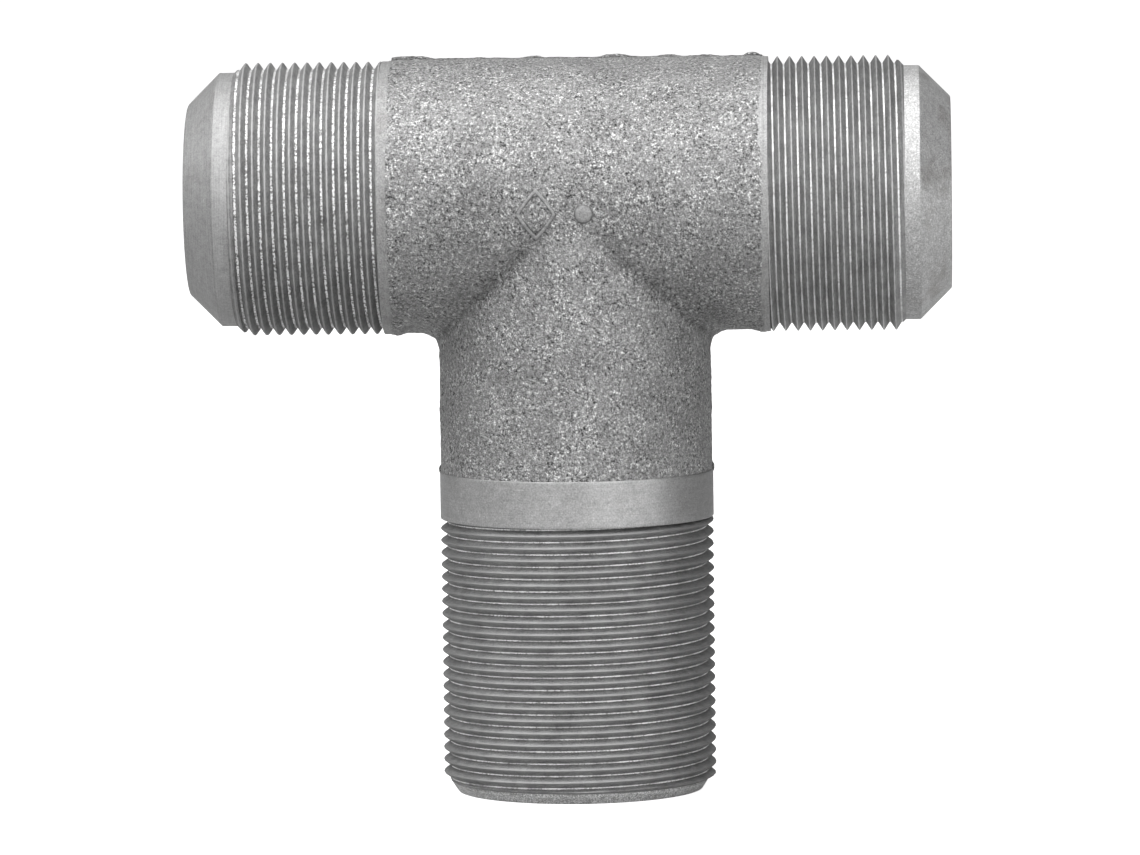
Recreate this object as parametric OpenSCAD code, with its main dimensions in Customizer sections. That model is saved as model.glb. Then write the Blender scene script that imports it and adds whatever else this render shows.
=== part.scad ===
// Flare fitting: a forged steel tee with a flare cone on each end of its run
// and a long straight-threaded branch. It stands on the end face of its branch.
// One forging, split into the zones that the die and the lathe leave on it.

/* [Thread] */
// Major diameter of the three 1 7/8-12 UN threads, which are drawn plain
thread_d = 47.3; // [47.2:0.1:47.6]
// Diameter at the root of the threads
root_d = 44.7; // [44.2:0.1:45]

/* [Bore] */
// Diameter of the waterway, the same in the run and in the branch
bore_d = 30; // [24:0.5:31]
// Chamfer where the waterway comes out
bore_chamfer = 0.5; // [0.2:0.1:0.8]

/* [Run] */
// Distance from the branch axis to the left tip
left_reach = 66.2; // [64:0.1:75]
// Distance from the branch axis to the right tip
right_reach = 65.2; // [64:0.1:75]
// Length of each flare cone, along the axis
cone_length = 5.4; // [3:0.1:6]
// Half angle of the flare cones
cone_angle = 45; // [37:1:45]
// Diameter of the plain lands behind the cones
land_d = 43.8; // [43.2:0.1:44]
// Length of each plain land
land_length = 2.6; // [1:0.1:4]

/* [Branch] */
// Distance from the run axis to the end face of the branch
branch_reach = 103; // [80:1:140]
// Distance from the run axis to the turned band of the branch
branch_band_start = 48.3; // [40:0.1:52]
// Length of the turned band
branch_band_length = 7.2; // [4:0.1:12]
// Length of the chamfered ring at the end of the branch
branch_tip_length = 1.8; // [1:0.1:3]
// Diameter of the end face of the branch
branch_end_d = 42.4; // [40:0.1:44]

/* [Forging] */
// Diameter of the forged run
run_d = 48; // [47.9:0.1:50]
// Diameter of the forged branch
branch_d = 46.7; // [46:0.1:46.7]
// Distance from the branch axis to the left end of the forged skin
left_forging = 31; // [30:0.1:34]
// Distance from the branch axis to the right end of the forged skin
right_forging = 32.9; // [30:0.1:34]
// Width of the turned collar between forging and left thread
left_collar_length = 1.7; // [1:0.1:2]
// Width of the turned collar between forging and right thread
right_collar_length = 1; // [1:0.1:2]
// Radius of the fillets between run and branch
fillet_r = 3.2; // [2:0.1:5]
// Width of the trimmed flash along the parting plane
flash_width = 2.4; // [1:0.1:4]
// How far the flash stands out of the forging
flash_height = 0.6; // [0.3:0.1:1]

/* [Die mark] */
// How far the raised mark stands out of the forging
mark_height = 0.4; // [0.2:0.1:0.6]
// Height of the lozenge
lozenge_height = 9; // [6:0.5:10]
// Width of the lozenge
lozenge_width = 7; // [5:0.5:8]
// Width of the lozenge's raised outline
lozenge_line = 1.1; // [0.8:0.1:1.5]
// Diameter of the dot beside it
dot_d = 3.4; // [2:0.1:4]

/* [Hidden] */
$fn = 96;
thread_r = thread_d / 2;
root_r = root_d / 2;
bore_r = bore_d / 2;
land_r = land_d / 2;
run_r = run_d / 2;
branch_r = branch_d / 2;
branch_thread_start = branch_band_start + branch_band_length;
branch_thread_end = branch_reach - branch_tip_length;
cone_tip_r = land_r - cone_length * tan(cone_angle);
// Slack that lets one solid cut cleanly through another
over = 1;
// The fillet's sections: their spacing round the branch and the steps of each arc
fillet_step = 7.5;
fillet_arc_steps = 6;
// How far each fillet section reaches into the two cylinders
fillet_root = 1.5;
fillet_sink = 0.2;
// Centres of the two raised marks, from where the axes cross
lozenge_centre = [-5.5, -1.7];
dot_centre = [2.6, -1.7];

// Each arm is drawn along +Z from the point where the axes cross
module left_arm() {
    translate([0, 0, branch_reach]) rotate([0, -90, 0]) children();
}

module right_arm() {
    translate([0, 0, branch_reach]) rotate([0, 90, 0]) children();
}

module branch_arm() {
    translate([0, 0, branch_reach]) rotate([180, 0, 0]) children();
}

// A ring round the waterway, straight or tapered outside
module ring(start, end, start_r, end_r) {
    rotate_extrude()
        polygon([[bore_r, start], [start_r, start], [end_r, end], [bore_r, end]]);
}

// The same ring where the waterway comes out, with its chamfered mouth
module mouth_ring(start, end, start_r, end_r) {
    rotate_extrude()
        polygon([[bore_r, start], [start_r, start], [end_r, end],
            [bore_r + bore_chamfer, end], [bore_r, end - bore_chamfer]]);
}

// A threaded zone at its major diameter, chamfered at 45 degrees down to end_r
module threaded_zone(start, end, end_r) {
    chamfer = thread_r - end_r;
    rotate_extrude()
        polygon([[bore_r, start], [thread_r, start], [thread_r, end - chamfer],
            [end_r, end], [bore_r, end]]);
}

// The four turned zones of a run arm
module run_collar(start, length) {
    ring(start, start + length, thread_r, thread_r);
}

module run_thread(start, reach) {
    threaded_zone(start, reach - cone_length - land_length, land_r);
}

module run_land(reach) {
    end = reach - cone_length;
    ring(end - land_length, end, land_r, land_r);
}

module run_cone(reach) {
    mouth_ring(reach - cone_length, reach, land_r, cone_tip_r);
}

// The two forged cylinders, grown outwards by extra
module forged_cylinders(extra) {
    translate([-left_forging, 0, branch_reach]) rotate([0, 90, 0])
        cylinder(r = run_r + extra, h = left_forging + right_forging);
    branch_arm() cylinder(r = branch_r + extra, h = branch_band_start);
}

// One section of the fillet that a ball rolled along the crease leaves, at an
// angle round the branch. The ball touches the run at one end of the arc and
// the branch at the other, and the section closes inside both cylinders.
function ball_centre(a) =
    let (reach = branch_r + fillet_r, y = reach * sin(a))
    [reach * cos(a), y, -sqrt(pow(run_r + fillet_r, 2) - y * y)];

function run_touch(c) =
    [c[0], c[1] * run_r / (run_r + fillet_r), c[2] * run_r / (run_r + fillet_r)];

function branch_touch(a, c) = [branch_r * cos(a), branch_r * sin(a), c[2]];

function unit(v) = v / norm(v);

function fillet_section(a) =
    let (c = ball_centre(a), p = run_touch(c), q = branch_touch(a, c),
        to_run = unit(p - c), to_branch = unit(q - c),
        crease = [branch_r * cos(a), branch_r * sin(a),
            -sqrt(run_r * run_r - pow(branch_r * sin(a), 2))])
    concat([crease + fillet_root * (to_run + to_branch)],
        [p + fillet_sink * to_run],
        [for (i = [1 : fillet_arc_steps - 1])
            let (t = i / fillet_arc_steps)
            c + fillet_r * unit((1 - t) * to_run + t * to_branch)],
        [q + fillet_sink * to_branch]);

module crotch_fillet() {
    sections = [for (a = [-90 : fillet_step : 90]) fillet_section(a)];
    n = len(sections[0]);
    last = len(sections) - 1;
    translate([0, 0, branch_reach]) polyhedron(
        points = [for (s = sections) each s],
        faces = concat(
            [[for (i = [0 : n - 1]) i]],
            [for (s = [0 : last - 1], i = [0 : n - 1]) each
                let (j = (i + 1) % n, k = s * n)
                [[k + i, k + n + i, k + j], [k + j, k + n + i, k + n + j]]],
            [[for (i = [n - 1 : -1 : 0]) last * n + i]]));
}

module forged_body() {
    color("darkgray") difference() {
        union() {
            forged_cylinders(0);
            crotch_fillet();
            mirror([1, 0, 0]) crotch_fillet();
        }
        translate([-left_forging - over, 0, branch_reach]) rotate([0, 90, 0])
            cylinder(r = bore_r, h = left_forging + right_forging + 2 * over);
        branch_arm() cylinder(r = bore_r, h = branch_band_start + over);
    }
}

// The flash left in the parting plane, along the top and down the branch
module parting_flash() {
    crotch = run_r + fillet_r;
    color("gray") difference() {
        intersection() {
            forged_cylinders(flash_height);
            union() {
                translate([-left_forging, -flash_width / 2, branch_reach])
                    cube([left_forging + right_forging, flash_width, run_r + over]);
                branch_arm() translate([-run_r - over, -flash_width / 2, crotch])
                    cube([2 * (run_r + over), flash_width, branch_band_start - crotch]);
            }
        }
        forged_cylinders(0);
    }
}

module lozenge(shrink) {
    w = lozenge_width / 2 - shrink * lozenge_width / lozenge_height;
    h = lozenge_height / 2 - shrink;
    polygon([[-w, 0], [0, -h], [w, 0], [0, h]]);
}

// A plain lozenge and a dot, raised by the die on the front of the crossing
module die_mark() {
    color("gray") difference() {
        intersection() {
            forged_cylinders(mark_height);
            translate([0, 0, branch_reach]) rotate([90, 0, 0]) linear_extrude(run_r + over) {
                translate(lozenge_centre) difference() {
                    lozenge(0);
                    lozenge(lozenge_line * lozenge_height / lozenge_width);
                }
                translate(dot_centre) circle(d = dot_d);
            }
        }
        forged_cylinders(0);
    }
}

module left_collar() {
    color("silver") left_arm() run_collar(left_forging, left_collar_length);
}

module left_thread() {
    color("lightsteelblue") left_arm()
        run_thread(left_forging + left_collar_length, left_reach);
}

module left_land() {
    color("silver") left_arm() run_land(left_reach);
}

module left_flare_cone() {
    color("gainsboro") left_arm() run_cone(left_reach);
}

module right_collar() {
    color("silver") right_arm() run_collar(right_forging, right_collar_length);
}

module right_thread() {
    color("lightsteelblue") right_arm()
        run_thread(right_forging + right_collar_length, right_reach);
}

module right_land() {
    color("silver") right_arm() run_land(right_reach);
}

module right_flare_cone() {
    color("gainsboro") right_arm() run_cone(right_reach);
}

module branch_band() {
    color("silver") branch_arm()
        ring(branch_band_start, branch_thread_start, thread_r, thread_r);
}

module branch_thread() {
    color("lightsteelblue") branch_arm()
        threaded_zone(branch_thread_start, branch_thread_end, root_r);
}

module branch_tip() {
    color("silver") branch_arm()
        mouth_ring(branch_thread_end, branch_reach, root_r, branch_end_d / 2);
}

forged_body();
parting_flash();
die_mark();
left_collar();
left_thread();
left_land();
left_flare_cone();
right_collar();
right_thread();
right_land();
right_flare_cone();
branch_band();
branch_thread();
branch_tip();
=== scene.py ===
"""Looks of the flare fitting: one forged steel tee, built zone by zone round its CAD frame."""
import math

import bpy
import numpy as np
from mathutils import Matrix, Vector


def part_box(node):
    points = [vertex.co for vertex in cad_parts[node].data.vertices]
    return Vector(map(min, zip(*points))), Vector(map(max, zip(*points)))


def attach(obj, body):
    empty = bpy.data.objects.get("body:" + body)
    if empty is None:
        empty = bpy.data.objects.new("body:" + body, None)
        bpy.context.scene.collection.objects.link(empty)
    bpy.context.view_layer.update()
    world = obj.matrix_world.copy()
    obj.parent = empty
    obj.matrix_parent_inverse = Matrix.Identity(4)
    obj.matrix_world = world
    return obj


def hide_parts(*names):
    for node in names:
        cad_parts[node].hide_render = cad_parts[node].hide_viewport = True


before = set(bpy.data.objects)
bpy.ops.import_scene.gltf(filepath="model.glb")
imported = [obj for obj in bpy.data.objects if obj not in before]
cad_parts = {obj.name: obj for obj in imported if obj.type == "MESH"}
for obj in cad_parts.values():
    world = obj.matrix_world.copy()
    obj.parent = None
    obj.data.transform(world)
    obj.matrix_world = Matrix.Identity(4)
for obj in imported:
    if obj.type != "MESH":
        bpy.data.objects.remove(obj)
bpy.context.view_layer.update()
MM = 0.001
TAU = 2 * math.pi
BODY = "root"
SEED = 41


# ---------------------------------------------------------------- the frame's measures
def node_points(node):
    """The vertices of a CAD node, in metres."""
    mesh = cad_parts[node].data
    flat = np.zeros(len(mesh.vertices) * 3, np.float32)
    mesh.vertices.foreach_get("co", flat)
    return flat.reshape(-1, 3).astype(float)


AXIS_Z = sum(v[2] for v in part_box("left_collar")) / 2
ORIGIN = np.array([0.0, 0.0, AXIS_Z])


class Arm:
    """One arm of the tee. A point is ORIGIN + s * axis + r * (cos t * front + sin t * side)."""

    def __init__(self, name, axis, side, hand):
        self.name = name
        self.axis = np.array(axis, float)
        self.front = np.array([0.0, -1.0, 0.0])
        self.side = np.array(side, float)
        self.hand = hand  # how a right-hand helix advances along s as t grows

    def place(self, s, r, t):
        s, r, t = (np.asarray(v, float)[..., None] for v in (s, r, t))
        return (ORIGIN + s * self.axis
                + r * (np.cos(t) * self.front + np.sin(t) * self.side))

    def span(self, node):
        """Start, end, bore radius and outer radius of a ring node on this arm."""
        p = node_points(node) - ORIGIN
        s = p @ self.axis
        r = np.hypot(p @ self.front, p @ self.side)
        return s.min(), s.max(), r.min(), r.max()

    def end_face(self, node):
        """Radii of the waterway's mouth and of the rim, on the outer end face of a node."""
        p = node_points(node) - ORIGIN
        s = p @ self.axis
        p = p[np.abs(s - s.max()) < 0.01 * MM]
        radii = np.hypot(p @ self.front, p @ self.side)
        return radii.min(), radii.max()


LEFT = Arm("left", (-1, 0, 0), (0, 0, 1), 1)
RIGHT = Arm("right", (1, 0, 0), (0, 0, 1), -1)
BRANCH = Arm("branch", (0, 0, -1), (1, 0, 0), -1)
ARMS = (LEFT, RIGHT, BRANCH)

# Where the forging ends on each arm, then the radii that the zones share
LEFT_END, _, BORE_R, THREAD_R = LEFT.span("left_collar")
RIGHT_END = RIGHT.span("right_collar")[0]
BAND_START = BRANCH.span("branch_band")[0]
ARM_ENDS = (LEFT_END, RIGHT_END, BAND_START)
RUN_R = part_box("forged_body")[1][1]
# Mean radii of the forged skin, and of the fillet between run and branch
SKIN_R = RUN_R - 0.1 * MM
BRANCH_R = 23.45 * MM
FILLET_R = 3.4 * MM
PITCH = 25.4 / 12 * MM


# ---------------------------------------------------------------- noise and painted shade
LATTICE = 256
NOISE_GAIN = 1.7


def noise(p, wavelength, seed):
    """Smooth gradient noise, about -1 to 1, at points p in metres."""
    rng = np.random.default_rng(SEED * 1000 + seed)
    perm = rng.permutation(LATTICE)
    grad = rng.normal(size=(LATTICE, 3))
    grad /= np.linalg.norm(grad, axis=1)[:, None]
    shape = p.shape[:-1]
    q = p.reshape(-1, 3) / wavelength + rng.uniform(0, 50, 3)
    cell = np.floor(q).astype(int)
    f = q - cell
    w = f * f * f * (f * (f * 6 - 15) + 10)
    last = LATTICE - 1
    total = np.zeros(len(q))
    for dx in (0, 1):
        hx = perm[(cell[:, 0] + dx) & last]
        for dy in (0, 1):
            hy = perm[(hx + cell[:, 1] + dy) & last]
            for dz in (0, 1):
                g = grad[perm[(hy + cell[:, 2] + dz) & last]]
                d = np.array([dx, dy, dz])
                share = np.prod(np.where(d, w, 1 - w), axis=1)
                total += share * ((f - d) * g).sum(1)
    return (total * NOISE_GAIN).reshape(shape)


def layered(p, layers, start=0):
    """Noises added onto start, each given as (height, wavelength in mm, seed)."""
    return sum((high * noise(p, wave * MM, seed) for high, wave, seed in layers), start)


def smooth(low, high, x):
    """0 at low and 1 at high, with a soft step between."""
    k = np.clip((x - low) / (high - low), 0, 1)
    return k * k * (3 - 2 * k)


# Painted shade on turned zones, darker on the sides of each arm that get less light; on the right
# cone's top it is partly a real stain as well. Where round the arm each node's shade is thickest
# and how wide it is (degrees), and how much it darkens
PAINTED_SHADE_AND_STAIN = {
    "left_thread": ((-90, 64, 0.24),),
    "right_thread": ((95, 60, 0.30),),
    "right_flare_cone": ((66, 57, 0.26),),
    "branch_band": ((85, 48, 0.15),),
    "branch_thread": ((85, 46, 0.20), (-85, 44, 0.12)),
}


def painted_shade_and_stain(node, p, t):
    """How light each point of a turned zone is: 1, and less where painted shade darkens it."""
    shade = np.ones(np.shape(t))
    for centre, wide, amount in PAINTED_SHADE_AND_STAIN.get(node, ()):
        gap = (t - math.radians(centre) + math.pi) % TAU - math.pi
        gap = gap / math.radians(wide) * (1 + 0.2 * noise(p, 6 * MM, 61))
        shade -= amount * np.exp(-gap ** 6)
    return shade


# ---------------------------------------------------------------- meshes
WELD_GAP = 0.0005 * MM
# Edges sharper than this many degrees stay sharp
SHARP_FORGED, SHARP_TURNED, SHARP_THREAD = 60, 35, 25


def weld(verts, faces):
    """Joins vertices that coincide and drops faces that close up. Faces are quads (n, 4)."""
    keys = np.round(verts / WELD_GAP).astype(np.int64)
    _, first, back = np.unique(keys, axis=0, return_index=True, return_inverse=True)
    faces = back.ravel()[faces]
    kept = []
    for f in faces.tolist():
        g = [v for i, v in enumerate(f) if v != f[i - 1]]
        if len(g) > 2 and len(set(g)) == len(g):
            kept.append(g)
    return verts[first], kept, first


def outward(verts, faces):
    """Turns every face round if the closed mesh is inside out."""
    volume = 0.0
    for n in (3, 4):
        group = np.array([f for f in faces if len(f) == n])
        if len(group):
            a = verts[group[:, 0]] - ORIGIN
            for i in range(1, n - 1):
                b, c = verts[group[:, i]] - ORIGIN, verts[group[:, i + 1]] - ORIGIN
                volume += np.einsum("ij,ij->", a, np.cross(b, c))
    return faces if volume > 0 else [f[::-1] for f in faces]


def make_piece(name, verts, faces, node, sharp_deg, fields):
    """A welded closed mesh that replaces a CAD node, with one float attribute per field."""
    verts, faces, first = weld(np.asarray(verts, float), np.asarray(faces))
    faces = outward(verts, faces)
    mesh = bpy.data.meshes.new(name)
    mesh.from_pydata(verts.tolist(), [], faces)
    mesh.update()
    for key, values in fields.items():
        attribute = mesh.attributes.new(key, "FLOAT", "POINT")
        attribute.data.foreach_set("value", np.asarray(values, np.float32)[first])
    mesh.shade_smooth()
    mesh.set_sharp_from_angle(angle=math.radians(sharp_deg))
    obj = bpy.data.objects.new(name, mesh)
    bpy.context.scene.collection.objects.link(obj)
    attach(obj, BODY)
    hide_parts(node)
    return obj


def join(parts):
    """Several closed meshes (points, quads, shades) as one, each turned outward."""
    verts, faces, shades, count = [], [], [], 0
    for v, f, shade in parts:
        f = np.array(outward(v - v.mean(0) + ORIGIN, f.tolist()))
        verts.append(v)
        faces.append(f + count)
        shades.append(shade)
        count += len(v)
    return np.concatenate(verts), np.concatenate(faces), np.concatenate(shades)


def ring_faces(rows, columns, loop):
    """Quads of a grid whose columns close round. loop also joins its last row to its first."""
    i, j = np.meshgrid(np.arange(rows if loop else rows - 1), np.arange(columns), indexing="ij")
    k, m = (i + 1) % rows, (j + 1) % columns
    return np.stack([i * columns + j, k * columns + j, k * columns + m, i * columns + m],
                    axis=-1).reshape(-1, 4)


def rounded(profile, radius, steps=3):
    """The closed profile of (s, r) points with its corners rounded."""
    out = []
    n = len(profile)
    for i in range(n):
        a, b, c = (np.array(profile[(i + k) % n], float) for k in (-1, 0, 1))
        u, v = a - b, c - b
        cut = min(radius, np.linalg.norm(u) * 0.3, np.linalg.norm(v) * 0.3)
        u, v = u / np.linalg.norm(u) * cut, v / np.linalg.norm(v) * cut
        for k in range(steps + 1):
            w = k / steps
            out.append((1 - w) ** 2 * (b + u) + 2 * w * (1 - w) * b + w * w * (b + v))
    return np.array(out)


def split(profile, longest):
    """The closed profile with every side longer than longest divided evenly."""
    out = []
    for i, a in enumerate(profile):
        b = profile[(i + 1) % len(profile)]
        n = max(1, int(math.ceil(np.linalg.norm(b - a) / longest)))
        out += [a + (b - a) * k / n for k in range(n)]
    return np.array(out)


RING_COLUMNS = 300
RING_STEP = 0.5 * MM
# Waviness of a turned surface, before its own amount: (height, wavelength, seed)
TURNED_WAVES = ((1, 5, 31), (0.6, 1.6, 32))


def lathe(name, arm, profile, node, waviness, radius=0.12 * MM):
    """A closed ring turned round its arm's axis. Its outside is wavy and its bore is true."""
    p = split(rounded(profile, radius), RING_STEP)
    t = np.arange(RING_COLUMNS) * TAU / RING_COLUMNS
    s, tt = np.meshgrid(p[:, 0], t, indexing="ij")
    r = np.repeat(p[:, 1:2], RING_COLUMNS, axis=1)
    outer = smooth(BORE_R + 1.5 * MM, BORE_R + 4 * MM, r)
    r = r + waviness * layered(arm.place(s, r, tt), TURNED_WAVES) * MM * outer
    verts = arm.place(s, r, tt)
    # shade: painted shade round some zones, on the right cone's top partly a real stain
    return make_piece(name, verts.reshape(-1, 3), ring_faces(len(p), RING_COLUMNS, True), node,
                      SHARP_TURNED, {"shade": painted_shade_and_stain(node, verts, tt).ravel()})


# ---------------------------------------------------------------- the forging's skin
# Heights in mm, wavelengths in mm and seeds: the blasted skin, and the edge where the lathe cut it
RELIEF_WAVES = ((0.09, 9, 1), (0.035, 3.4, 2), (0.035, 1.3, 3), (0.06, 0.8, 4))
EDGE_WAVES = ((0.22, 7, 11), (0.16, 2.2, 12), (0.08, 0.9, 13))
PIT_DEPTH = 0.12
CREASE_DEPTH = 0.22 * MM
FLAT_BENEATH = 0.5 * MM
EDGE_DIP = 0.12 * MM
# Soft dark patches on the front: centre x and z, half width and half height in mm, and amount
DARK_PATCHES = ((-16, -2, 4, 8, 0.16), (-15, -17, 6, 5, 0.12), (21, -17, 6, 5, 0.10))
# Painted shade inside the forging's waterway
BORE_SHADE = 0.8
SETTLE_STEPS = 12
FORGING_COLUMNS = 360
# Rows along each run arm and along the branch, on the skin and in the waterway
SKIN_ROWS = (74, 108)
BORE_ROWS = (5, 6)


def relief(p):
    """How far the blasted forging stands in or out of its nominal skin, at points p."""
    pits = smooth(0.35, 0.65, noise(p, 1.0 * MM, 5)) * smooth(-0.2, 0.5, noise(p, 6 * MM, 6))
    return (layered(p, RELIEF_WAVES) - PIT_DEPTH * pits) * MM


def skin_distance(p):
    """Signed distance to the run and branch cylinders with a ball-rolled fillet between."""
    x, y, z = p[:, 0], p[:, 1], p[:, 2] - AXIS_Z
    ra, rb = np.hypot(y, z), np.hypot(x, y)
    a, b = ra - SKIN_R, rb - BRANCH_R
    above = z > 0
    b = np.where(above, np.hypot(np.maximum(b, 0), z), b)
    # c is the cosine between the two cylinders' normals
    c = np.clip(y * y / np.maximum(ra * rb, 1e-9), 0, 0.995)
    u, v = FILLET_R - a, FILLET_R - b
    inside = (u > c * v) & (v > c * u) & (u > 0) & (v > 0) & ~above
    ball = FILLET_R - np.sqrt(np.maximum(u * u + v * v - 2 * c * u * v, 0) / (1 - c * c))
    return np.where(inside, ball, np.minimum(a, b))


def skin_normal(p, step=0.02 * MM):
    """The direction straight out of the nominal skin at points p."""
    g = np.stack([skin_distance(p + d) - skin_distance(p - d)
                  for d in np.eye(3) * step], axis=1)
    return g / np.maximum(np.linalg.norm(g, axis=1), 1e-12)[:, None]


def tee_grid(radius, rows_by_arm):
    """Three arms of one radius meeting on the planes between them. Returns points and faces
    and, for each arm, the indices of its end ring."""
    verts, faces, rims = [], [], []
    count = 0
    run_rows, branch_rows = rows_by_arm
    t = np.arange(FORGING_COLUMNS) * TAU / FORGING_COLUMNS
    for arm, rows, end in zip(ARMS, (run_rows, run_rows, branch_rows), ARM_ENDS):
        start = radius * (np.abs(np.sin(t)) if arm is BRANCH else np.maximum(0, -np.sin(t)))
        k = np.linspace(0, 1, rows + 1)[:, None]
        s = start + (end - start) * k
        verts.append(arm.place(s, radius, np.broadcast_to(t, s.shape)).reshape(-1, 3))
        f = ring_faces(rows + 1, FORGING_COLUMNS, False) + count
        faces.append(f[:, ::-1] if arm is LEFT else f)
        rims.append(count + rows * FORGING_COLUMNS + np.arange(FORGING_COLUMNS))
        count += (rows + 1) * FORGING_COLUMNS
    return np.concatenate(verts), np.concatenate(faces), rims


def crease(p):
    """1 along the valley where the branch meets the run, fading to 0 beside it."""
    x, y, z = p[:, 0], p[:, 1], p[:, 2] - AXIS_Z
    gap = (np.hypot(y, z) - SKIN_R) - (np.hypot(x, y) - BRANCH_R)
    return np.exp(-(gap / (0.9 * MM)) ** 2) * smooth(3 * MM, 9 * MM, np.abs(x)) * (z < 0)


def forging_shade(p):
    """How light each skin point is: painted shade in the creases, and darker in a few soft
    patches.
    """
    x, z = p[:, 0] / MM, (p[:, 2] - AXIS_Z) / MM
    # painted shade along the crease where the branch meets the run
    shade = 1 - 0.30 * crease(p) * (1 + 0.5 * noise(p, 3 * MM, 51))
    for cx, cz, wide, high, amount in DARK_PATCHES:
        d = ((x - cx) / wide) ** 2 + ((z - cz) / high) ** 2
        shade -= amount * np.exp(-d * (1 + 0.6 * noise(p, 4 * MM, 52))) * (p[:, 1] < 0)
    return shade


def cut_edges(p, axial):
    """The skin p with the uneven edges that the lathe's cut leaves at the end of each arm. The
    last few rows follow each edge, and the skin dips to it over a fraction of a millimetre."""
    for arm, s, end in zip(ARMS, axial, ARM_ENDS):
        s_now = (p - ORIGIN) @ arm.axis
        direction = p - ORIGIN - s_now[:, None] * arm.axis
        ragged = layered(direction, EDGE_WAVES) * MM
        near = smooth(end - 3 * MM, end, s)
        p = p + (ragged * near)[:, None] * arm.axis
        dip = smooth(end - 0.45 * MM, end + 0.02 * MM, s) * EDGE_DIP
        p = p - (dip / np.linalg.norm(direction, axis=1))[:, None] * direction
    return p


def make_forging():
    """The forged crossing of the run and the branch, open along all three arms."""
    outer, outer_faces, outer_rims = tee_grid(RUN_R, SKIN_ROWS)
    for _ in range(SETTLE_STEPS):
        outer = outer - skin_distance(outer)[:, None] * skin_normal(outer)
    axial = [(outer - ORIGIN) @ arm.axis for arm in ARMS]
    # the run is forged a little flat beneath, so that the turned collars stand proud there
    beneath = smooth(-0.80, -0.97, (outer[:, 2] - AXIS_Z) / RUN_R)
    reach = np.maximum(axial[0] - LEFT_END, axial[1] - RIGHT_END)
    outer[:, 2] += FLAT_BENEATH * beneath * smooth(-0.2 * MM, -2.5 * MM, reach)
    shade = forging_shade(outer)
    outer = outer + (relief(outer) - CREASE_DEPTH * crease(outer))[:, None] * skin_normal(outer)
    outer = cut_edges(outer, axial)
    inner, inner_faces, inner_rims = tee_grid(BORE_R, BORE_ROWS)
    shift = len(outer)
    caps = []
    for a, b in zip(outer_rims, inner_rims):
        b = b + shift
        caps.append(np.stack([a, b, np.roll(b, -1), np.roll(a, -1)], axis=1))
    caps[0] = caps[0][:, ::-1]
    verts = np.concatenate([outer, inner])
    faces = np.concatenate([outer_faces, inner_faces[:, ::-1] + shift, *caps])
    shade = np.concatenate([shade, np.full(len(inner), BORE_SHADE)])
    bored = np.concatenate([np.zeros(len(outer)), np.ones(len(inner))])
    return make_piece("forged_tee_body", verts, faces, "forged_body",
                      SHARP_FORGED, {"shade": shade, "bored": bored})


# ---------------------------------------------------------------- threads
# Per arm: columns round it; phase, crest and root in pitches (where the first crest lies, half a
# crest's width, half a root's); depth and radius of the crests; how many nicks and their seed;
# and how steeply the thread's lead-in tapers
THREADS = {
    "left": dict(columns=288, phase=0.90, crest=0.15, root=0.07, depth=1.2 * MM,
                 radius=23.56 * MM, nicks=30, seed=1, lead_slope=1.0),
    "right": dict(columns=288, phase=0.0, crest=0.07, root=0.05, depth=1.38 * MM,
                  radius=23.72 * MM, nicks=44, seed=2, lead_slope=1.15),
    "branch": dict(columns=240, phase=0.6, crest=0.26, root=0.035, depth=1.28 * MM,
                   radius=23.65 * MM, nicks=34, seed=3, lead_slope=2.0),
}
WEAR_FINE, WEAR_BROAD = 0.018 * MM, 0.03 * MM
NICK_LENGTH = 0.9 * MM
NICK_DEEPEST = 0.3 * MM
LEAD_ROUGHNESS = 0.05 * MM


def profile_points(style):
    """Places across half a pitch, from crest to root, close together where the profile bends."""
    c, foot = style["crest"], 0.5 - style["root"]
    return (0, .35 * c, .7 * c, c, 1.6 * c, (1.6 * c + foot) / 2, foot - .015, foot, .5)


def depth_at(phase, style):
    """Share of the thread's depth at phase, 0 on a crest and 0.5 in a root: a softly rounded
    crest, straight flanks and a flat root."""
    soft, foot = 0.5 * style["crest"], 0.5 - style["root"]
    fall = np.sqrt(np.minimum(phase, foot) ** 2 + soft ** 2) - soft
    return fall / (math.hypot(foot, soft) - soft)


def nick_depth(s, t, start, end, style):
    """Depth of the nicks that handling has left, at places s along the arm and t round it."""
    rng = np.random.default_rng(SEED + style["seed"])
    depth = np.zeros(s.shape)
    for _ in range(style["nicks"]):
        at_s, at_t = rng.uniform(start, end), rng.uniform(0, TAU)
        wide, deep = rng.uniform(0.3, 0.9) * MM, rng.uniform(0.05, 0.22) * MM
        arc = ((t - at_t + math.pi) % TAU - math.pi) * THREAD_R
        depth += deep * np.exp(-(arc / wide) ** 2 - ((s - at_s) / NICK_LENGTH) ** 2)
    return np.minimum(depth, NICK_DEEPEST)


def helix_faces(rows, columns, wrap_by):
    """Quads of a helical grid, whose last column joins its first wrap_by rows further on."""
    i, j = np.meshgrid(np.arange(rows - 1), np.arange(columns), indexing="ij")
    m = (j + 1) % columns
    wrap = np.where(j + 1 == columns, wrap_by, 0)
    a = np.clip(i + wrap, 0, rows - 1)
    b = np.clip(i + 1 + wrap, 0, rows - 1)
    return np.stack([i * columns + j, (i + 1) * columns + j, b * columns + m, a * columns + m],
                    axis=-1).reshape(-1, 4)


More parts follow.
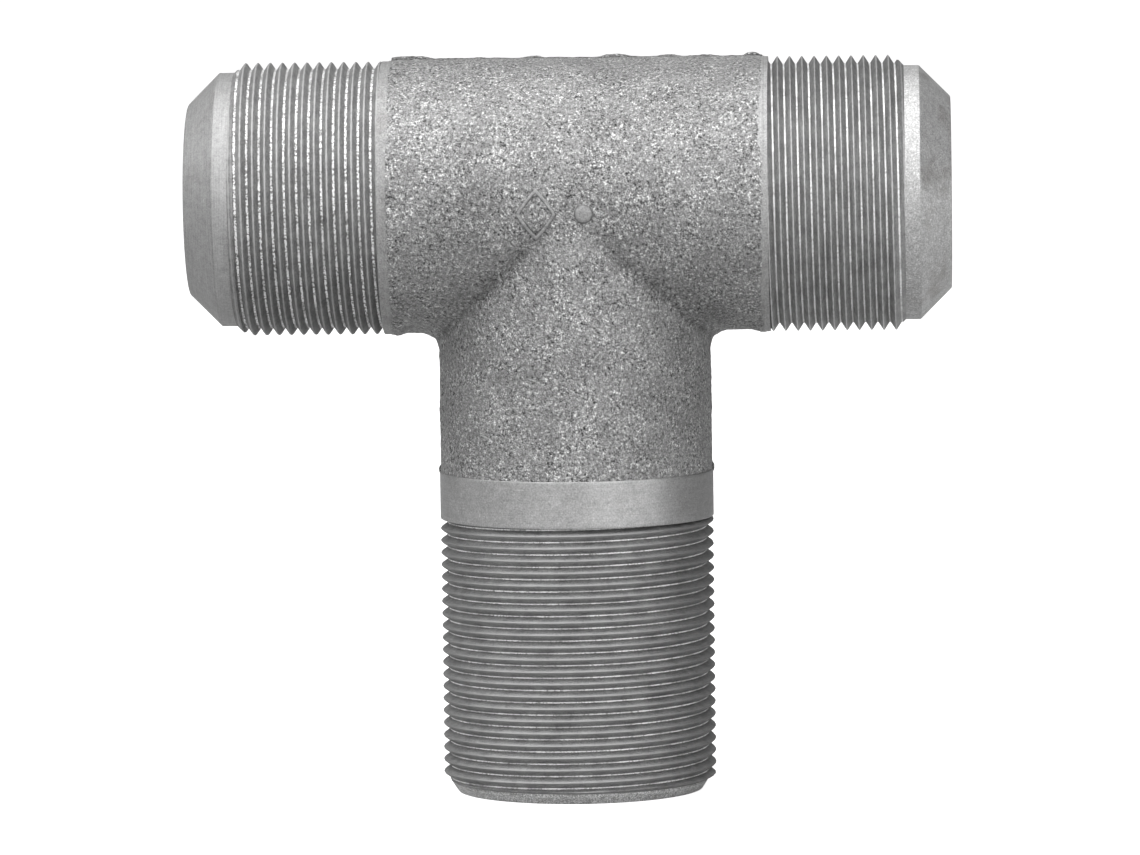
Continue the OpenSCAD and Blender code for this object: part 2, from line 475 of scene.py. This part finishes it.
def make_thread(arm, end_r):
    """An arm's helical thread. Its rows run along the helix, and those past either end are
    pressed flat onto the end face, so that the welded mesh closes."""
    node, style = f"{arm.name}_thread", THREADS[arm.name]
    start, end, bore, _ = arm.span(node)
    columns = style["columns"]
    half = profile_points(style)
    offsets = sorted(list(half) + [1 - x for x in half[1:-1]])
    crest0 = start + style["phase"] * PITCH
    first = int(math.floor((start - crest0) / PITCH)) - 2
    last = int(math.ceil((end - crest0) / PITCH)) + 2
    u = crest0 + PITCH * np.array([k + x for k in range(first, last) for x in offsets])
    t = np.arange(columns) * TAU / columns
    lead = arm.hand * PITCH * t / TAU
    s = np.clip(u[:, None] + lead[None, :], start, end)
    tt = np.broadcast_to(t, s.shape)
    phase = np.abs(((s - lead[None, :] - crest0) / PITCH + 0.5) % 1 - 0.5)
    share = depth_at(phase, style)
    place = arm.place(s, style["radius"], tt)
    wear = noise(place, 2.6 * MM, 21) * WEAR_BROAD + noise(place, 0.9 * MM, 22) * WEAR_FINE
    nicks = nick_depth(s, tt, start, end, style)
    r = style["radius"] - style["depth"] * share + wear * (1 - 0.4 * share) - nicks * (1 - share)
    lead_in = (end_r + (end - s) * style["lead_slope"]
               + noise(place, 1.3 * MM, 23) * LEAD_ROUGHNESS)
    verts = arm.place(s, np.minimum(r, lead_in), tt).reshape(-1, 3)
    walls = np.linspace(end, start, 4)
    base = len(verts)
    bore_verts = np.concatenate([arm.place(w, bore, t) for w in walls])
    wall_faces = ring_faces(len(walls), columns, False) + base
    c = np.arange(columns)
    n = (c + 1) % columns
    top_row = (len(u) - 1) * columns
    far = base + (len(walls) - 1) * columns
    caps = [np.stack([top_row + c, base + c, base + n, top_row + n], axis=1),
            np.stack([far + c, c, n, far + n], axis=1)]
    faces = helix_faces(len(u), columns, arm.hand * len(offsets))
    groove = np.concatenate([share.ravel(), np.zeros(len(bore_verts))])
    # shade: painted shade round the thread; the bore stays at 1
    shade = np.concatenate([painted_shade_and_stain(node, place, tt).ravel(), np.ones(len(bore_verts))])
    return make_piece(f"{arm.name}_helical_thread", np.concatenate([verts, bore_verts]),
                      np.concatenate([faces, wall_faces, *caps]), node,
                      SHARP_THREAD, {"groove": groove, "shade": shade})


# ---------------------------------------------------------------- turned rings
def make_collar(arm):
    """The collar beside the forging. It starts inside the forging, below the uneven edge."""
    s0, s1, bore, _ = arm.span(f"{arm.name}_collar")
    r = THREADS[arm.name]["radius"] + 0.02 * MM
    inside, step = s0 - 0.8 * MM, s0 + 0.4 * (s1 - s0)
    raised = r + 0.1 * MM
    return lathe(f"{arm.name}_turned_collar", arm,
                 [(inside, bore), (inside, raised), (step - 0.22 * MM, raised), (step, r),
                  (s1, r), (s1, bore)],
                 f"{arm.name}_collar", 0.015, 0.05 * MM)


def make_land(arm):
    """The plain land between the thread and the cone."""
    s0, s1, bore, r = arm.span(f"{arm.name}_land")
    return lathe(f"{arm.name}_plain_land", arm, [(s0, bore), (s0, r), (s1, r), (s1, bore)],
                 f"{arm.name}_land", 0.012, 0.02 * MM)


def make_cone(arm):
    """The flare cone, with the chamfered mouth of the waterway in its end face."""
    node = f"{arm.name}_flare_cone"
    s0, s1, bore, r = arm.span(node)
    mouth, tip_r = arm.end_face(node)
    return lathe(f"{node}_face", arm,
                 [(s0, bore), (s0, r), (s1, tip_r), (s1, mouth), (s1 - (mouth - bore), bore)],
                 node, 0.012, 0.18 * MM)


def make_band():
    """The wide band above the branch's thread. It starts inside the forging, like the collars."""
    s0, s1, bore, _ = BRANCH.span("branch_band")
    r = THREADS["branch"]["radius"] + 0.03 * MM
    inside = s0 - 0.9 * MM
    return lathe("branch_turned_band", BRANCH,
                 [(inside, bore), (inside, r), (s1, r), (s1, bore)],
                 "branch_band", 0.02)


def make_tip():
    """The branch's chamfered end, which starts with the shallow groove where its thread ends."""
    s0, s1, bore, r = BRANCH.span("branch_tip")
    mouth, end_r = BRANCH.end_face("branch_tip")
    return lathe("branch_chamfered_tip", BRANCH,
                 [(s0, bore), (s0, r - 0.2 * MM), (s0 + 0.15 * MM, r - 0.3 * MM),
                  (s0 + 0.3 * MM, r - 0.15 * MM), (s1, end_r), (s1, mouth),
                  (s1 - (mouth - bore), bore)],
                 "branch_tip", 0.04, 0.1 * MM)


# ---------------------------------------------------------------- flash and die mark
# Torn lumps on the flash: centre, half length (mm) and height share
TOP_LUMPS = ((-27.6, 3.4, 1), (-6.5, 1.3, .5), (7.4, 2.3, .9), (16.6, 1.9, .55),
             (31.2, 1.2, 1), (-16, 1.5, .3), (23.5, 1.3, .3))
SIDE_LUMPS = ((47.2, 0.8, 1), (36, 1.2, .3))
TOP_STEPS, SIDE_STEPS = 260, 110
RIDGE_ROWS = 9
SUNK = 0.7 * MM        # how deep flash and die mark reach into the forging
FLASH_HIGHEST = 0.65 * MM
ACROSS = np.array([0.0, 1.0, 0.0])
MARK_LIFT = 0.50 * MM
MARK_RELIEF = 0.4      # the die mark is worn smoother than the skin round it
# How far the lozenge reaches in from the mark's left end, and the dot from its right end
LOZENGE_SPAN, DOT_SPAN = 7.2 * MM, 3.6 * MM
LOZENGE_COLUMNS, DOT_COLUMNS = 200, 48
LOZENGE_ROWS, DOT_ROWS = 11, 9


def lumps(x, centres):
    """Height share along the trimmed flash: low, with a few torn lumps."""
    out = np.zeros_like(x)
    for centre, wide, high in centres:
        out = np.maximum(out, high * np.exp(-((x - centre * MM) / (wide * MM)) ** 4))
    return out


def ridge(path, normal, width, height):
    """A closed low ridge along path (n, 3): width and height per point, sunk into the skin.
    Gives its points, its quads and how light each point is: painted shade darkens its sides."""
    v = np.linspace(-1, 1, RIDGE_ROWS)
    n = len(path)
    normal = np.array(normal, float)
    centre = path[:, None, :] + ACROSS * v[None, :, None] * width[:, None, None]
    top = centre + normal * (height[:, None] * (1 - v * v) ** 0.8)[..., None]
    top = top + normal * (relief(top) * (1 - np.abs(v) ** 3)[None, :])[..., None]
    low = centre - normal * SUNK
    loop = np.concatenate([top, low[:, ::-1, :]], axis=1)
    count = loop.shape[1]
    # painted shade, darker down the ridge's sides
    side = 1 - 0.5 * smooth(0.45, 0.9, np.abs(v))
    shade = np.tile(np.concatenate([side, side[::-1]]), n)
    ends = []
    for base in (0, (n - 1) * count):
        for q in range(RIDGE_ROWS - 1):
            quad = [base + q, base + q + 1, base + count - 2 - q, base + count - 1 - q]
            ends.append(quad[::-1] if base else quad)
    faces = np.concatenate([ring_faces(n, count, False), np.array(ends)])
    return loop.reshape(-1, 3), faces, shade


def make_flash():
    """Three strips in the parting plane: along the top, and down each side of the branch."""
    x = np.linspace(-LEFT_END, RIGHT_END, TOP_STEPS)
    path = np.stack([x, np.zeros(TOP_STEPS), np.full(TOP_STEPS, AXIS_Z + SKIN_R - 0.1 * MM)],
                    axis=1)
    wave = layered(path, ((0.5, 3.1, 41), (0.3, 1.2, 42)), 0.5)
    high = (0.10 + 0.16 * wave + 0.5 * lumps(x, TOP_LUMPS)) * MM
    wide = layered(path, ((0.35, 4, 43), (0.2, 1.5, 44)), 1.0) * MM
    strips = [ridge(path, (0, 0, 1), wide, np.minimum(high, FLASH_HIGHEST))]
    crotch = RUN_R + FILLET_R - 0.6 * MM
    s = np.linspace(crotch, BAND_START - 0.1 * MM, SIDE_STEPS)
    for side in (-1, 1):
        path = np.stack([np.full(SIDE_STEPS, side * (BRANCH_R - 0.1 * MM)),
                         np.zeros(SIDE_STEPS), AXIS_Z - s], axis=1)
        wave = layered(path, ((0.5, 2.7, 45), (0.3, 1.1, 46)), 0.5)
        high = (0.08 + 0.12 * wave + 0.35 * lumps(s, SIDE_LUMPS)) * MM
        wide = layered(path, ((0.35, 3, 47),), 0.95) * MM
        strips.append(ridge(path, (side, 0, 0), wide, high))
    verts, faces, shade = join(strips)
    return make_piece("parting_line_flash", verts, faces, "parting_flash",
                      SHARP_FORGED, {"shade": shade})


def front_skin(x, z, lift):
    """A point on the front of the run, lifted off its skin by lift."""
    r = SKIN_R + lift
    y = -np.sqrt(np.maximum(r * r - z * z * (r / SKIN_R) ** 2, 0))
    return np.stack([x, y, AXIS_Z + z * r / SKIN_R], axis=-1)


def raised_patch(x, z, lift, side, ring):
    """A closed patch on the front skin, from a grid of x and z whose columns close round. It is
    a ring with a hole, or a disc whose first and last rows are drawn to a point. side is how
    light each row is."""
    top = front_skin(x, z, lift)
    top[..., 1] -= relief(top) * MARK_RELIEF
    grid = np.concatenate([top, front_skin(x, z, np.full(x.shape, -SUNK))[::-1]], axis=0)
    if not ring:
        grid[0] = grid[0].mean(0)
        grid[-1] = grid[-1].mean(0)
    shade = np.repeat(np.concatenate([side, side[::-1]]), x.shape[1])
    return grid.reshape(-1, 3), ring_faces(len(grid), x.shape[1], ring), shade


def centre_and_reach(p):
    """Centre of the points p in x and z, and half their width and height."""
    low, high = p.min(0), p.max(0)
    middle, half = (low + high) / 2, (high - low) / 2
    return middle[0], middle[2], half[0], half[2]


def make_die_mark():
    """A soft raised lozenge outline and a dot, the die's own mark."""
    p = node_points("die_mark") - ORIGIN
    lozenge = p[p[:, 0] < p[:, 0].min() + LOZENGE_SPAN]
    dot = p[p[:, 0] > p[:, 0].max() - DOT_SPAN]
    cx, cz, wide, high = centre_and_reach(lozenge)
    t = np.arange(LOZENGE_COLUMNS) * TAU / LOZENGE_COLUMNS
    c, s = np.cos(t), np.sin(t)
    power = 1.12  # 1 is a sharp lozenge and 2 an ellipse
    reach = (np.abs(c) ** power + np.abs(s) ** power) ** (-1 / power)
    v = np.linspace(-1, 1, LOZENGE_ROWS)
    scale = (1 - 0.24 * (1 + v) / 2)[:, None]
    fade = np.clip(0.75 + 0.25 * np.sin(3 * t + 1) + 0.15 * np.sin(7 * t), 0.5, 1)
    lift = MARK_LIFT * (1 - v ** 4)[:, None] ** 0.8 * fade[None, :] - 0.08 * MM
    # Each row's shade: a little lighter on top, and painted shade darker down the sides
    outline = raised_patch(cx + wide * (reach * c)[None, :] * scale,
                           cz + high * (reach * s)[None, :] * scale, lift,
                           1.1 - 0.65 * smooth(0.55, 0.95, np.abs(v)), True)
    dx, dz, radius, _ = centre_and_reach(dot)
    t = np.arange(DOT_COLUMNS) * TAU / DOT_COLUMNS
    v = np.linspace(0.04, 1, DOT_ROWS)
    disc = raised_patch(dx + radius * np.cos(t)[None, :] * v[:, None],
                        dz + radius * np.sin(t)[None, :] * v[:, None],
                        MARK_LIFT * (1 - v ** 4)[:, None] - 0.06 * MM,
                        1.1 - 0.65 * smooth(0.7, 1.0, v), False)
    verts, faces, shade = join([outline, disc])
    return make_piece("raised_die_mark", verts, faces, "die_mark",
                      SHARP_FORGED, {"shade": shade})


# ---------------------------------------------------------------- materials
class Nodes:
    """Short names for building a node tree."""

    def __init__(self, tree):
        self.tree = tree

    def add(self, kind, **settings):
        node = self.tree.nodes.new(kind)
        for key, value in settings.items():
            setattr(node, key, value)
        return node

    def link(self, source, target):
        self.tree.links.new(source, target)

    def shader(self, kind, grey, strength=None):
        node = self.add(kind)
        node.inputs["Color"].default_value = (grey, grey, grey, 1)
        if strength is not None:
            node.inputs["Strength"].default_value = strength
        return node.outputs[0]

    def backdrop(self, seen, unseen, target):
        """Shows seen where the camera looks straight at it, and lights the part with unseen."""
        path = self.add("ShaderNodeLightPath")
        pick = self.add("ShaderNodeMixShader")
        self.link(path.outputs["Is Camera Ray"], pick.inputs[0])
        self.link(unseen, pick.inputs[1])
        self.link(seen, pick.inputs[2])
        self.link(pick.outputs[0], target)


class Graph(Nodes):
    """A material's node tree round its Principled shader."""

    def __init__(self, name):
        self.material = bpy.data.materials.new(name)
        self.material.use_nodes = True
        super().__init__(self.material.node_tree)
        self.principled = self.tree.nodes["Principled BSDF"]
        self.coords = self.add("ShaderNodeTexCoord").outputs["Object"]

    def put(self, value, target):
        if hasattr(value, "is_linked"):
            self.link(value, target)
        else:
            target.default_value = value

    def noise(self, wavelength_mm, detail=2.0, rough=0.5, vector=None):
        node = self.add("ShaderNodeTexNoise")
        self.link(vector or self.coords, node.inputs["Vector"])
        node.inputs["Scale"].default_value = 1 / (wavelength_mm * MM)
        node.inputs["Detail"].default_value = detail
        node.inputs["Roughness"].default_value = rough
        return node.outputs["Fac"]

    def streaks(self, axis, fine_mm, along_mm):
        """Noise drawn out round the axis, as a lathe tool leaves it."""
        node = self.add("ShaderNodeMapping")
        scale = [fine_mm / along_mm] * 3
        scale["XYZ".index(axis)] = 1.0
        node.inputs["Scale"].default_value = scale
        self.link(self.coords, node.inputs["Vector"])
        return self.noise(fine_mm, vector=node.outputs["Vector"])

    def field(self, name):
        """One of the mesh's own float attributes."""
        return self.add("ShaderNodeAttribute", attribute_name=name).outputs["Fac"]

    def math(self, operation, a, b, c=None, clamp=False):
        node = self.add("ShaderNodeMath", operation=operation, use_clamp=clamp)
        self.put(a, node.inputs[0])
        self.put(b, node.inputs[1])
        if c is not None:
            self.put(c, node.inputs[2])
        return node.outputs[0]

    def remap(self, value, low, high, to_low, to_high):
        node = self.add("ShaderNodeMapRange")
        self.put(value, node.inputs["Value"])
        for key, number in (("From Min", low), ("From Max", high),
                            ("To Min", to_low), ("To Max", to_high)):
            node.inputs[key].default_value = number
        return node.outputs["Result"]

    def ramp(self, value, stops):
        """A colour ramp of (place, grey) or (place, (red, green, blue)) stops."""
        node = self.add("ShaderNodeValToRGB")
        self.link(value, node.inputs["Fac"])
        elements = node.color_ramp.elements
        while len(elements) < len(stops):
            elements.new(0.5)
        for element, (place, tint) in zip(elements, stops):
            element.position = place
            element.color = (*(tint if isinstance(tint, tuple) else (tint,) * 3), 1)
        return node.outputs["Color"]

    def mix(self, share, a, b, blend="MIX"):
        node = self.add("ShaderNodeMix", data_type="RGBA", blend_type=blend)
        self.put(share, node.inputs["Factor"])
        self.put(a, node.inputs[6])
        self.put(b, node.inputs[7])
        return node.outputs[2]

    def times(self, a, b):
        return self.mix(1.0, a, b, "MULTIPLY")

    def bump(self, height, distance_mm, strength, under=None):
        node = self.add("ShaderNodeBump")
        node.inputs["Strength"].default_value = strength
        node.inputs["Distance"].default_value = distance_mm * MM
        self.link(height, node.inputs["Height"])
        if under is not None:
            self.link(under, node.inputs["Normal"])
        return node.outputs["Normal"]

    def finish(self, colour, roughness, normal, metallic=1.0):
        for key, value in (("Base Color", colour), ("Roughness", roughness), ("Normal", normal),
                           ("Metallic", metallic)):
            self.put(value, self.principled.inputs[key])
        return self.material


FORGING_TONES = ((0.34, 0.06), (0.43, 0.25), (0.50, 0.345), (0.56, 0.43), (0.61, 0.65), (0.68, 1))


def forging_material(name, grain_share=1.0, level=1.0):
    """Blasted scale: clusters of bright specks and dark pits between smoother patches. The grain
    nearly vanishes where "bored" is 1, in the drilled waterway."""
    g = Graph(name)
    grain = g.noise(0.27, 2.0, 0.6)
    coarse = g.noise(0.56, 1.0, 0.5)
    cluster = g.remap(g.noise(3.2, 3.0, 0.65), 0.38, 0.60, 0.76, 1.16)
    skin = g.math("MULTIPLY_ADD", g.field("bored"), -0.85, 1.0)
    both = g.math("MULTIPLY_ADD", grain, 0.6, g.math("MULTIPLY", coarse, 0.4))
    swing = g.math("MULTIPLY", g.math("MULTIPLY", g.math("SUBTRACT", both, 0.5), cluster), skin)
    tone = g.math("ADD", g.math("MULTIPLY", swing, grain_share), 0.5)
    colour = g.ramp(tone, [(place, grey * level) for place, grey in FORGING_TONES])
    colour = g.times(colour, g.ramp(g.noise(7.0), [(0.35, 0.84), (0.62, 1.0)]))
    # painted shade in the creases, the waterway and down the sides of flash and die mark; and soft
    # dark patches
    colour = g.times(colour, g.field("shade"))
    rough = g.math("MULTIPLY_ADD", swing, -1.0, 0.60)
    return g.finish(colour, rough, g.bump(swing, 0.32 * grain_share, 0.9), 0.85)


def turned_material(name, axis, base, rough, speckle, stained):
    """Turned steel dulled by handling: faint tool lines, fine specks, soft stains. base is its
    grey, rough its least roughness, speckle the specks' share and stained how dark stains get."""
    g = Graph(name)
    lines = g.streaks(axis, 0.12, 6.0)
    grain = g.noise(0.27, 2.0, 0.6)
    patch = g.noise(1.1, 2.0, 0.55)
    tone = g.math("MULTIPLY_ADD", grain, speckle, g.math("MULTIPLY", patch, 0.2))
    tone = g.math("MULTIPLY_ADD", lines, 0.8 - speckle, tone)
    colour = g.ramp(tone, [(0.36, base * (0.82 - 0.2 * speckle)),
                           (0.60, base * (1.1 + 0.1 * speckle)),
                           (0.70, base * (1.2 + 0.5 * speckle))])
    stain = (1 - stained, 1 - 1.06 * stained, 1 - 1.12 * stained)
    colour = g.times(colour, g.ramp(g.noise(5.0, 3.0, 0.55), [(0.32, stain), (0.46, 1.0)]))
    # painted shade from the ring's shade attribute, on the right cone partly a real stain
    colour = g.times(colour, g.field("shade"))
    normal = g.bump(grain, 0.05 * speckle, 0.8, g.bump(lines, 0.006, 0.8))
    return g.finish(colour, g.math("MULTIPLY_ADD", grain, 0.25, rough), normal)


def thread_material(name, axis, crest, flank, worn, broken):
    """Cut steel by depth: worn crests, duller flanks and a painted highlight, a bright root line.

    crest and flank are greys, worn is how far the crest's wear spreads down, and broken is how
    ragged the painted root highlight is."""
    g = Graph(name)
    lines = g.streaks(axis, 0.12, 4.0)
    grain = g.noise(0.30, 2.0, 0.6)
    flecks = g.noise(0.38, 1.0, 0.5)
    depth = g.field("groove")
    wear = g.math("MULTIPLY", g.remap(g.noise(0.9, 2.0, 0.6), 0.40, 0.62, 0.25, 1.0), worn)
    at_crest = g.math("SUBTRACT", 1.0, g.math("DIVIDE", depth, wear), clamp=True)
    edge = g.math("MULTIPLY_ADD", g.math("SUBTRACT", flecks, 0.5), broken, depth)
    gaps = g.math("MULTIPLY", g.remap(g.noise(5.0), 0.40, 0.56, 0.55, 1.0),
                  g.remap(flecks, 0.38, 0.50, 1.0 - broken, 1.0))
    # Painted highlight: a ragged white line along the root
    painted_root_highlight = g.math("MULTIPLY", g.remap(edge, 0.93, 0.985, 0.0, 1.0), gaps)
    tone = g.ramp(g.math("MULTIPLY_ADD", lines, 0.35, g.math("MULTIPLY", grain, 0.65)),
                  [(0.36, 0.72), (0.64, 1.08)])
    side = g.times((flank, flank, flank, 1), tone)
    side = g.times(side, g.ramp(g.noise(2.4, 3.0, 0.6), [(0.36, 0.84), (0.62, 1.08)]))
    colour = g.mix(at_crest, side, (crest, crest, crest, 1))
    # painted shade from the thread's shade attribute
    colour = g.times(colour, g.field("shade"))
    # the painted root highlight, pure white over the rest
    colour = g.mix(painted_root_highlight, colour, (1, 1, 1, 1))
    normal = g.bump(grain, 0.07, 0.8, g.bump(lines, 0.008, 0.7))
    return g.finish(colour, g.math("MULTIPLY_ADD", grain, 0.3, 0.47), normal)


# ---------------------------------------------------------------- build
THREAD_LOOKS = {
    "left": dict(crest=0.60, flank=0.41, worn=0.20, broken=0.55),
    "right": dict(crest=0.73, flank=0.45, worn=0.20, broken=0.15),
    "branch": dict(crest=0.37, flank=0.40, worn=0.30, broken=0.20),
}
RING_LOOKS = {
    "left_collar": dict(base=0.43, rough=0.52, speckle=0.7, stained=0.10),
    "left_land": dict(base=0.46, rough=0.48, speckle=0.5, stained=0.06),
    "left_cone": dict(base=0.42, rough=0.50, speckle=0.5, stained=0.08),
    "right_collar": dict(base=0.46, rough=0.48, speckle=0.7, stained=0.10),
    "right_land": dict(base=0.58, rough=0.46, speckle=0.8, stained=0.06),
    "right_cone": dict(base=0.62, rough=0.52, speckle=0.7, stained=0.18),
    "branch_band": dict(base=0.49, rough=0.33, speckle=0.6, stained=0.06),
    "branch_tip": dict(base=0.74, rough=0.50, speckle=1.0, stained=0.10),
}


def paint(obj, material):
    obj.data.materials.append(material)


def paint_ring(obj, name, axis):
    paint(obj, turned_material(f"{name}_steel", axis, **RING_LOOKS[name]))


def paint_thread(obj, name, axis):
    paint(obj, thread_material(f"{name}_thread_steel", axis, **THREAD_LOOKS[name]))


paint(make_forging(), forging_material("blasted_forging"))
paint(make_flash(), forging_material("torn_flash", 1.2, 0.8))
paint(make_die_mark(), forging_material("worn_die_mark", 0.3, 1.05))
for arm in (LEFT, RIGHT):
    for zone, make in (("collar", make_collar), ("land", make_land), ("cone", make_cone)):
        paint_ring(make(arm), f"{arm.name}_{zone}", "X")
    paint_thread(make_thread(arm, arm.span(f"{arm.name}_land")[3]), arm.name, "X")
paint_thread(make_thread(BRANCH, BRANCH.span("branch_tip")[3]), "branch", "Z")
paint_ring(make_band(), "branch_band", "Z")
paint_ring(make_tip(), "branch_tip", "Z")


# ---------------------------------------------------------------- stage
FLOOR_RADIUS = 30.0
FLOOR_Z = -0.02 * MM   # just below the part's end face
# Name, azimuth to the camera's right and elevation (degrees), distance, width and height (m), W
LIGHTS = (
    ("key_overhead", 0, 72, 1.0, 2.2, 1.7, 20),
    ("front_fill", 25, 8, 1.7, 1.0, 1.0, 6.5),
    ("left_fill", -80, 35, 1.2, 0.9, 0.9, 4.0),
    ("left_strip", -24, 8, 1.7, 0.6, 1.0, 3.0),
    ("right_fill", 62, -2, 1.2, 0.6, 0.6, 2.4),
)
LIGHTS_AIM = Vector((0, 0, 0.07))
# The room's light: its level, and how it grows towards the upper left
ROOM_LEVEL = 0.27
ROOM_SLOPE = (-0.16, -0.06, 0.13)
CAMERA_AZIMUTH, CAMERA_ELEVATION, CAMERA_ROLL = 2.19, 5.07, -0.75
CAMERA_TARGET = Vector((-1.051, 0, 62.85)) * MM
CAMERA_DISTANCE = 1393.6 * MM
CAMERA_LENS, CAMERA_SENSOR = 254.24, 36


def towards(azimuth, elevation):
    """The direction from the part at an azimuth to the front's right and an elevation."""
    a, e = math.radians(azimuth), math.radians(elevation)
    return Vector((math.sin(a) * math.cos(e), -math.cos(a) * math.cos(e), math.sin(e)))


def make_floor():
    """A pale disc: plain white to the camera, a mid grey to the light that it reflects."""
    n = 64
    t = np.arange(n) * TAU / n
    verts = [(FLOOR_RADIUS * math.cos(a), FLOOR_RADIUS * math.sin(a), FLOOR_Z) for a in t]
    mesh = bpy.data.meshes.new("floor")
    mesh.from_pydata(verts, [], [list(range(n))])
    floor = bpy.data.objects.new("floor", mesh)
    bpy.context.scene.collection.objects.link(floor)
    g = Graph("floor_white")
    g.tree.nodes.remove(g.principled)
    both = g.add("ShaderNodeAddShader")
    g.link(g.shader("ShaderNodeBsdfDiffuse", 0.75), both.inputs[0])
    g.link(g.shader("ShaderNodeEmission", 1, 0.8), both.inputs[1])
    g.backdrop(both.outputs[0], g.shader("ShaderNodeBsdfDiffuse", 0.42),
               g.tree.nodes["Material Output"].inputs["Surface"])
    mesh.materials.append(g.material)


def area_light(name, azimuth, elevation, distance, width, height, power):
    """A soft light aimed at the part."""
    light = bpy.data.lights.new(name, "AREA")
    light.shape = "RECTANGLE"
    light.size, light.size_y = width, height
    light.energy = power
    obj = bpy.data.objects.new(name, light)
    back = towards(azimuth, elevation)
    obj.location = LIGHTS_AIM + back * distance
    obj.rotation_mode = "QUATERNION"
    obj.rotation_quaternion = (-back).to_track_quat("-Z", "Y")
    bpy.context.scene.collection.objects.link(obj)


def make_room():
    """A plain white surround, whose light on the part is dimmer and slopes softly."""
    world = bpy.data.worlds.new("studio")
    bpy.context.scene.world = world
    world.use_nodes = True
    g = Nodes(world.node_tree)
    light = g.tree.nodes["Background"]
    light.inputs["Color"].default_value = (1, 1, 1, 1)
    slope = g.add("ShaderNodeVectorMath", operation="DOT_PRODUCT")
    slope.inputs[1].default_value = ROOM_SLOPE
    level = g.add("ShaderNodeMath", operation="ADD")
    level.inputs[1].default_value = ROOM_LEVEL
    g.link(g.add("ShaderNodeTexCoord").outputs["Generated"], slope.inputs[0])
    g.link(slope.outputs["Value"], level.inputs[0])
    g.link(level.outputs[0], light.inputs["Strength"])
    g.backdrop(g.shader("ShaderNodeBackground", 1, 1.0), light.outputs[0],
               g.tree.nodes["World Output"].inputs["Surface"])


def make_camera():
    back = towards(CAMERA_AZIMUTH, CAMERA_ELEVATION)
    azimuth, roll = math.radians(CAMERA_AZIMUTH), math.radians(CAMERA_ROLL)
    across = Vector((math.cos(azimuth), math.sin(azimuth), 0))
    upward = back.cross(across)
    right = across * math.cos(roll) + upward * math.sin(roll)
    up = upward * math.cos(roll) - across * math.sin(roll)
    place = CAMERA_TARGET + back * CAMERA_DISTANCE
    data = bpy.data.cameras.new("camera")
    data.sensor_width, data.lens = CAMERA_SENSOR, CAMERA_LENS
    data.clip_start, data.clip_end = 0.05, 100
    camera = bpy.data.objects.new("camera", data)
    camera.matrix_world = Matrix([(right[i], up[i], back[i], place[i]) for i in range(3)]
                                 + [(0, 0, 0, 1)])
    bpy.context.scene.collection.objects.link(camera)
    bpy.context.scene.camera = camera


make_floor()
for row in LIGHTS:
    area_light(*row)
make_room()
bpy.context.scene.view_settings.view_transform = "Standard"
make_camera()
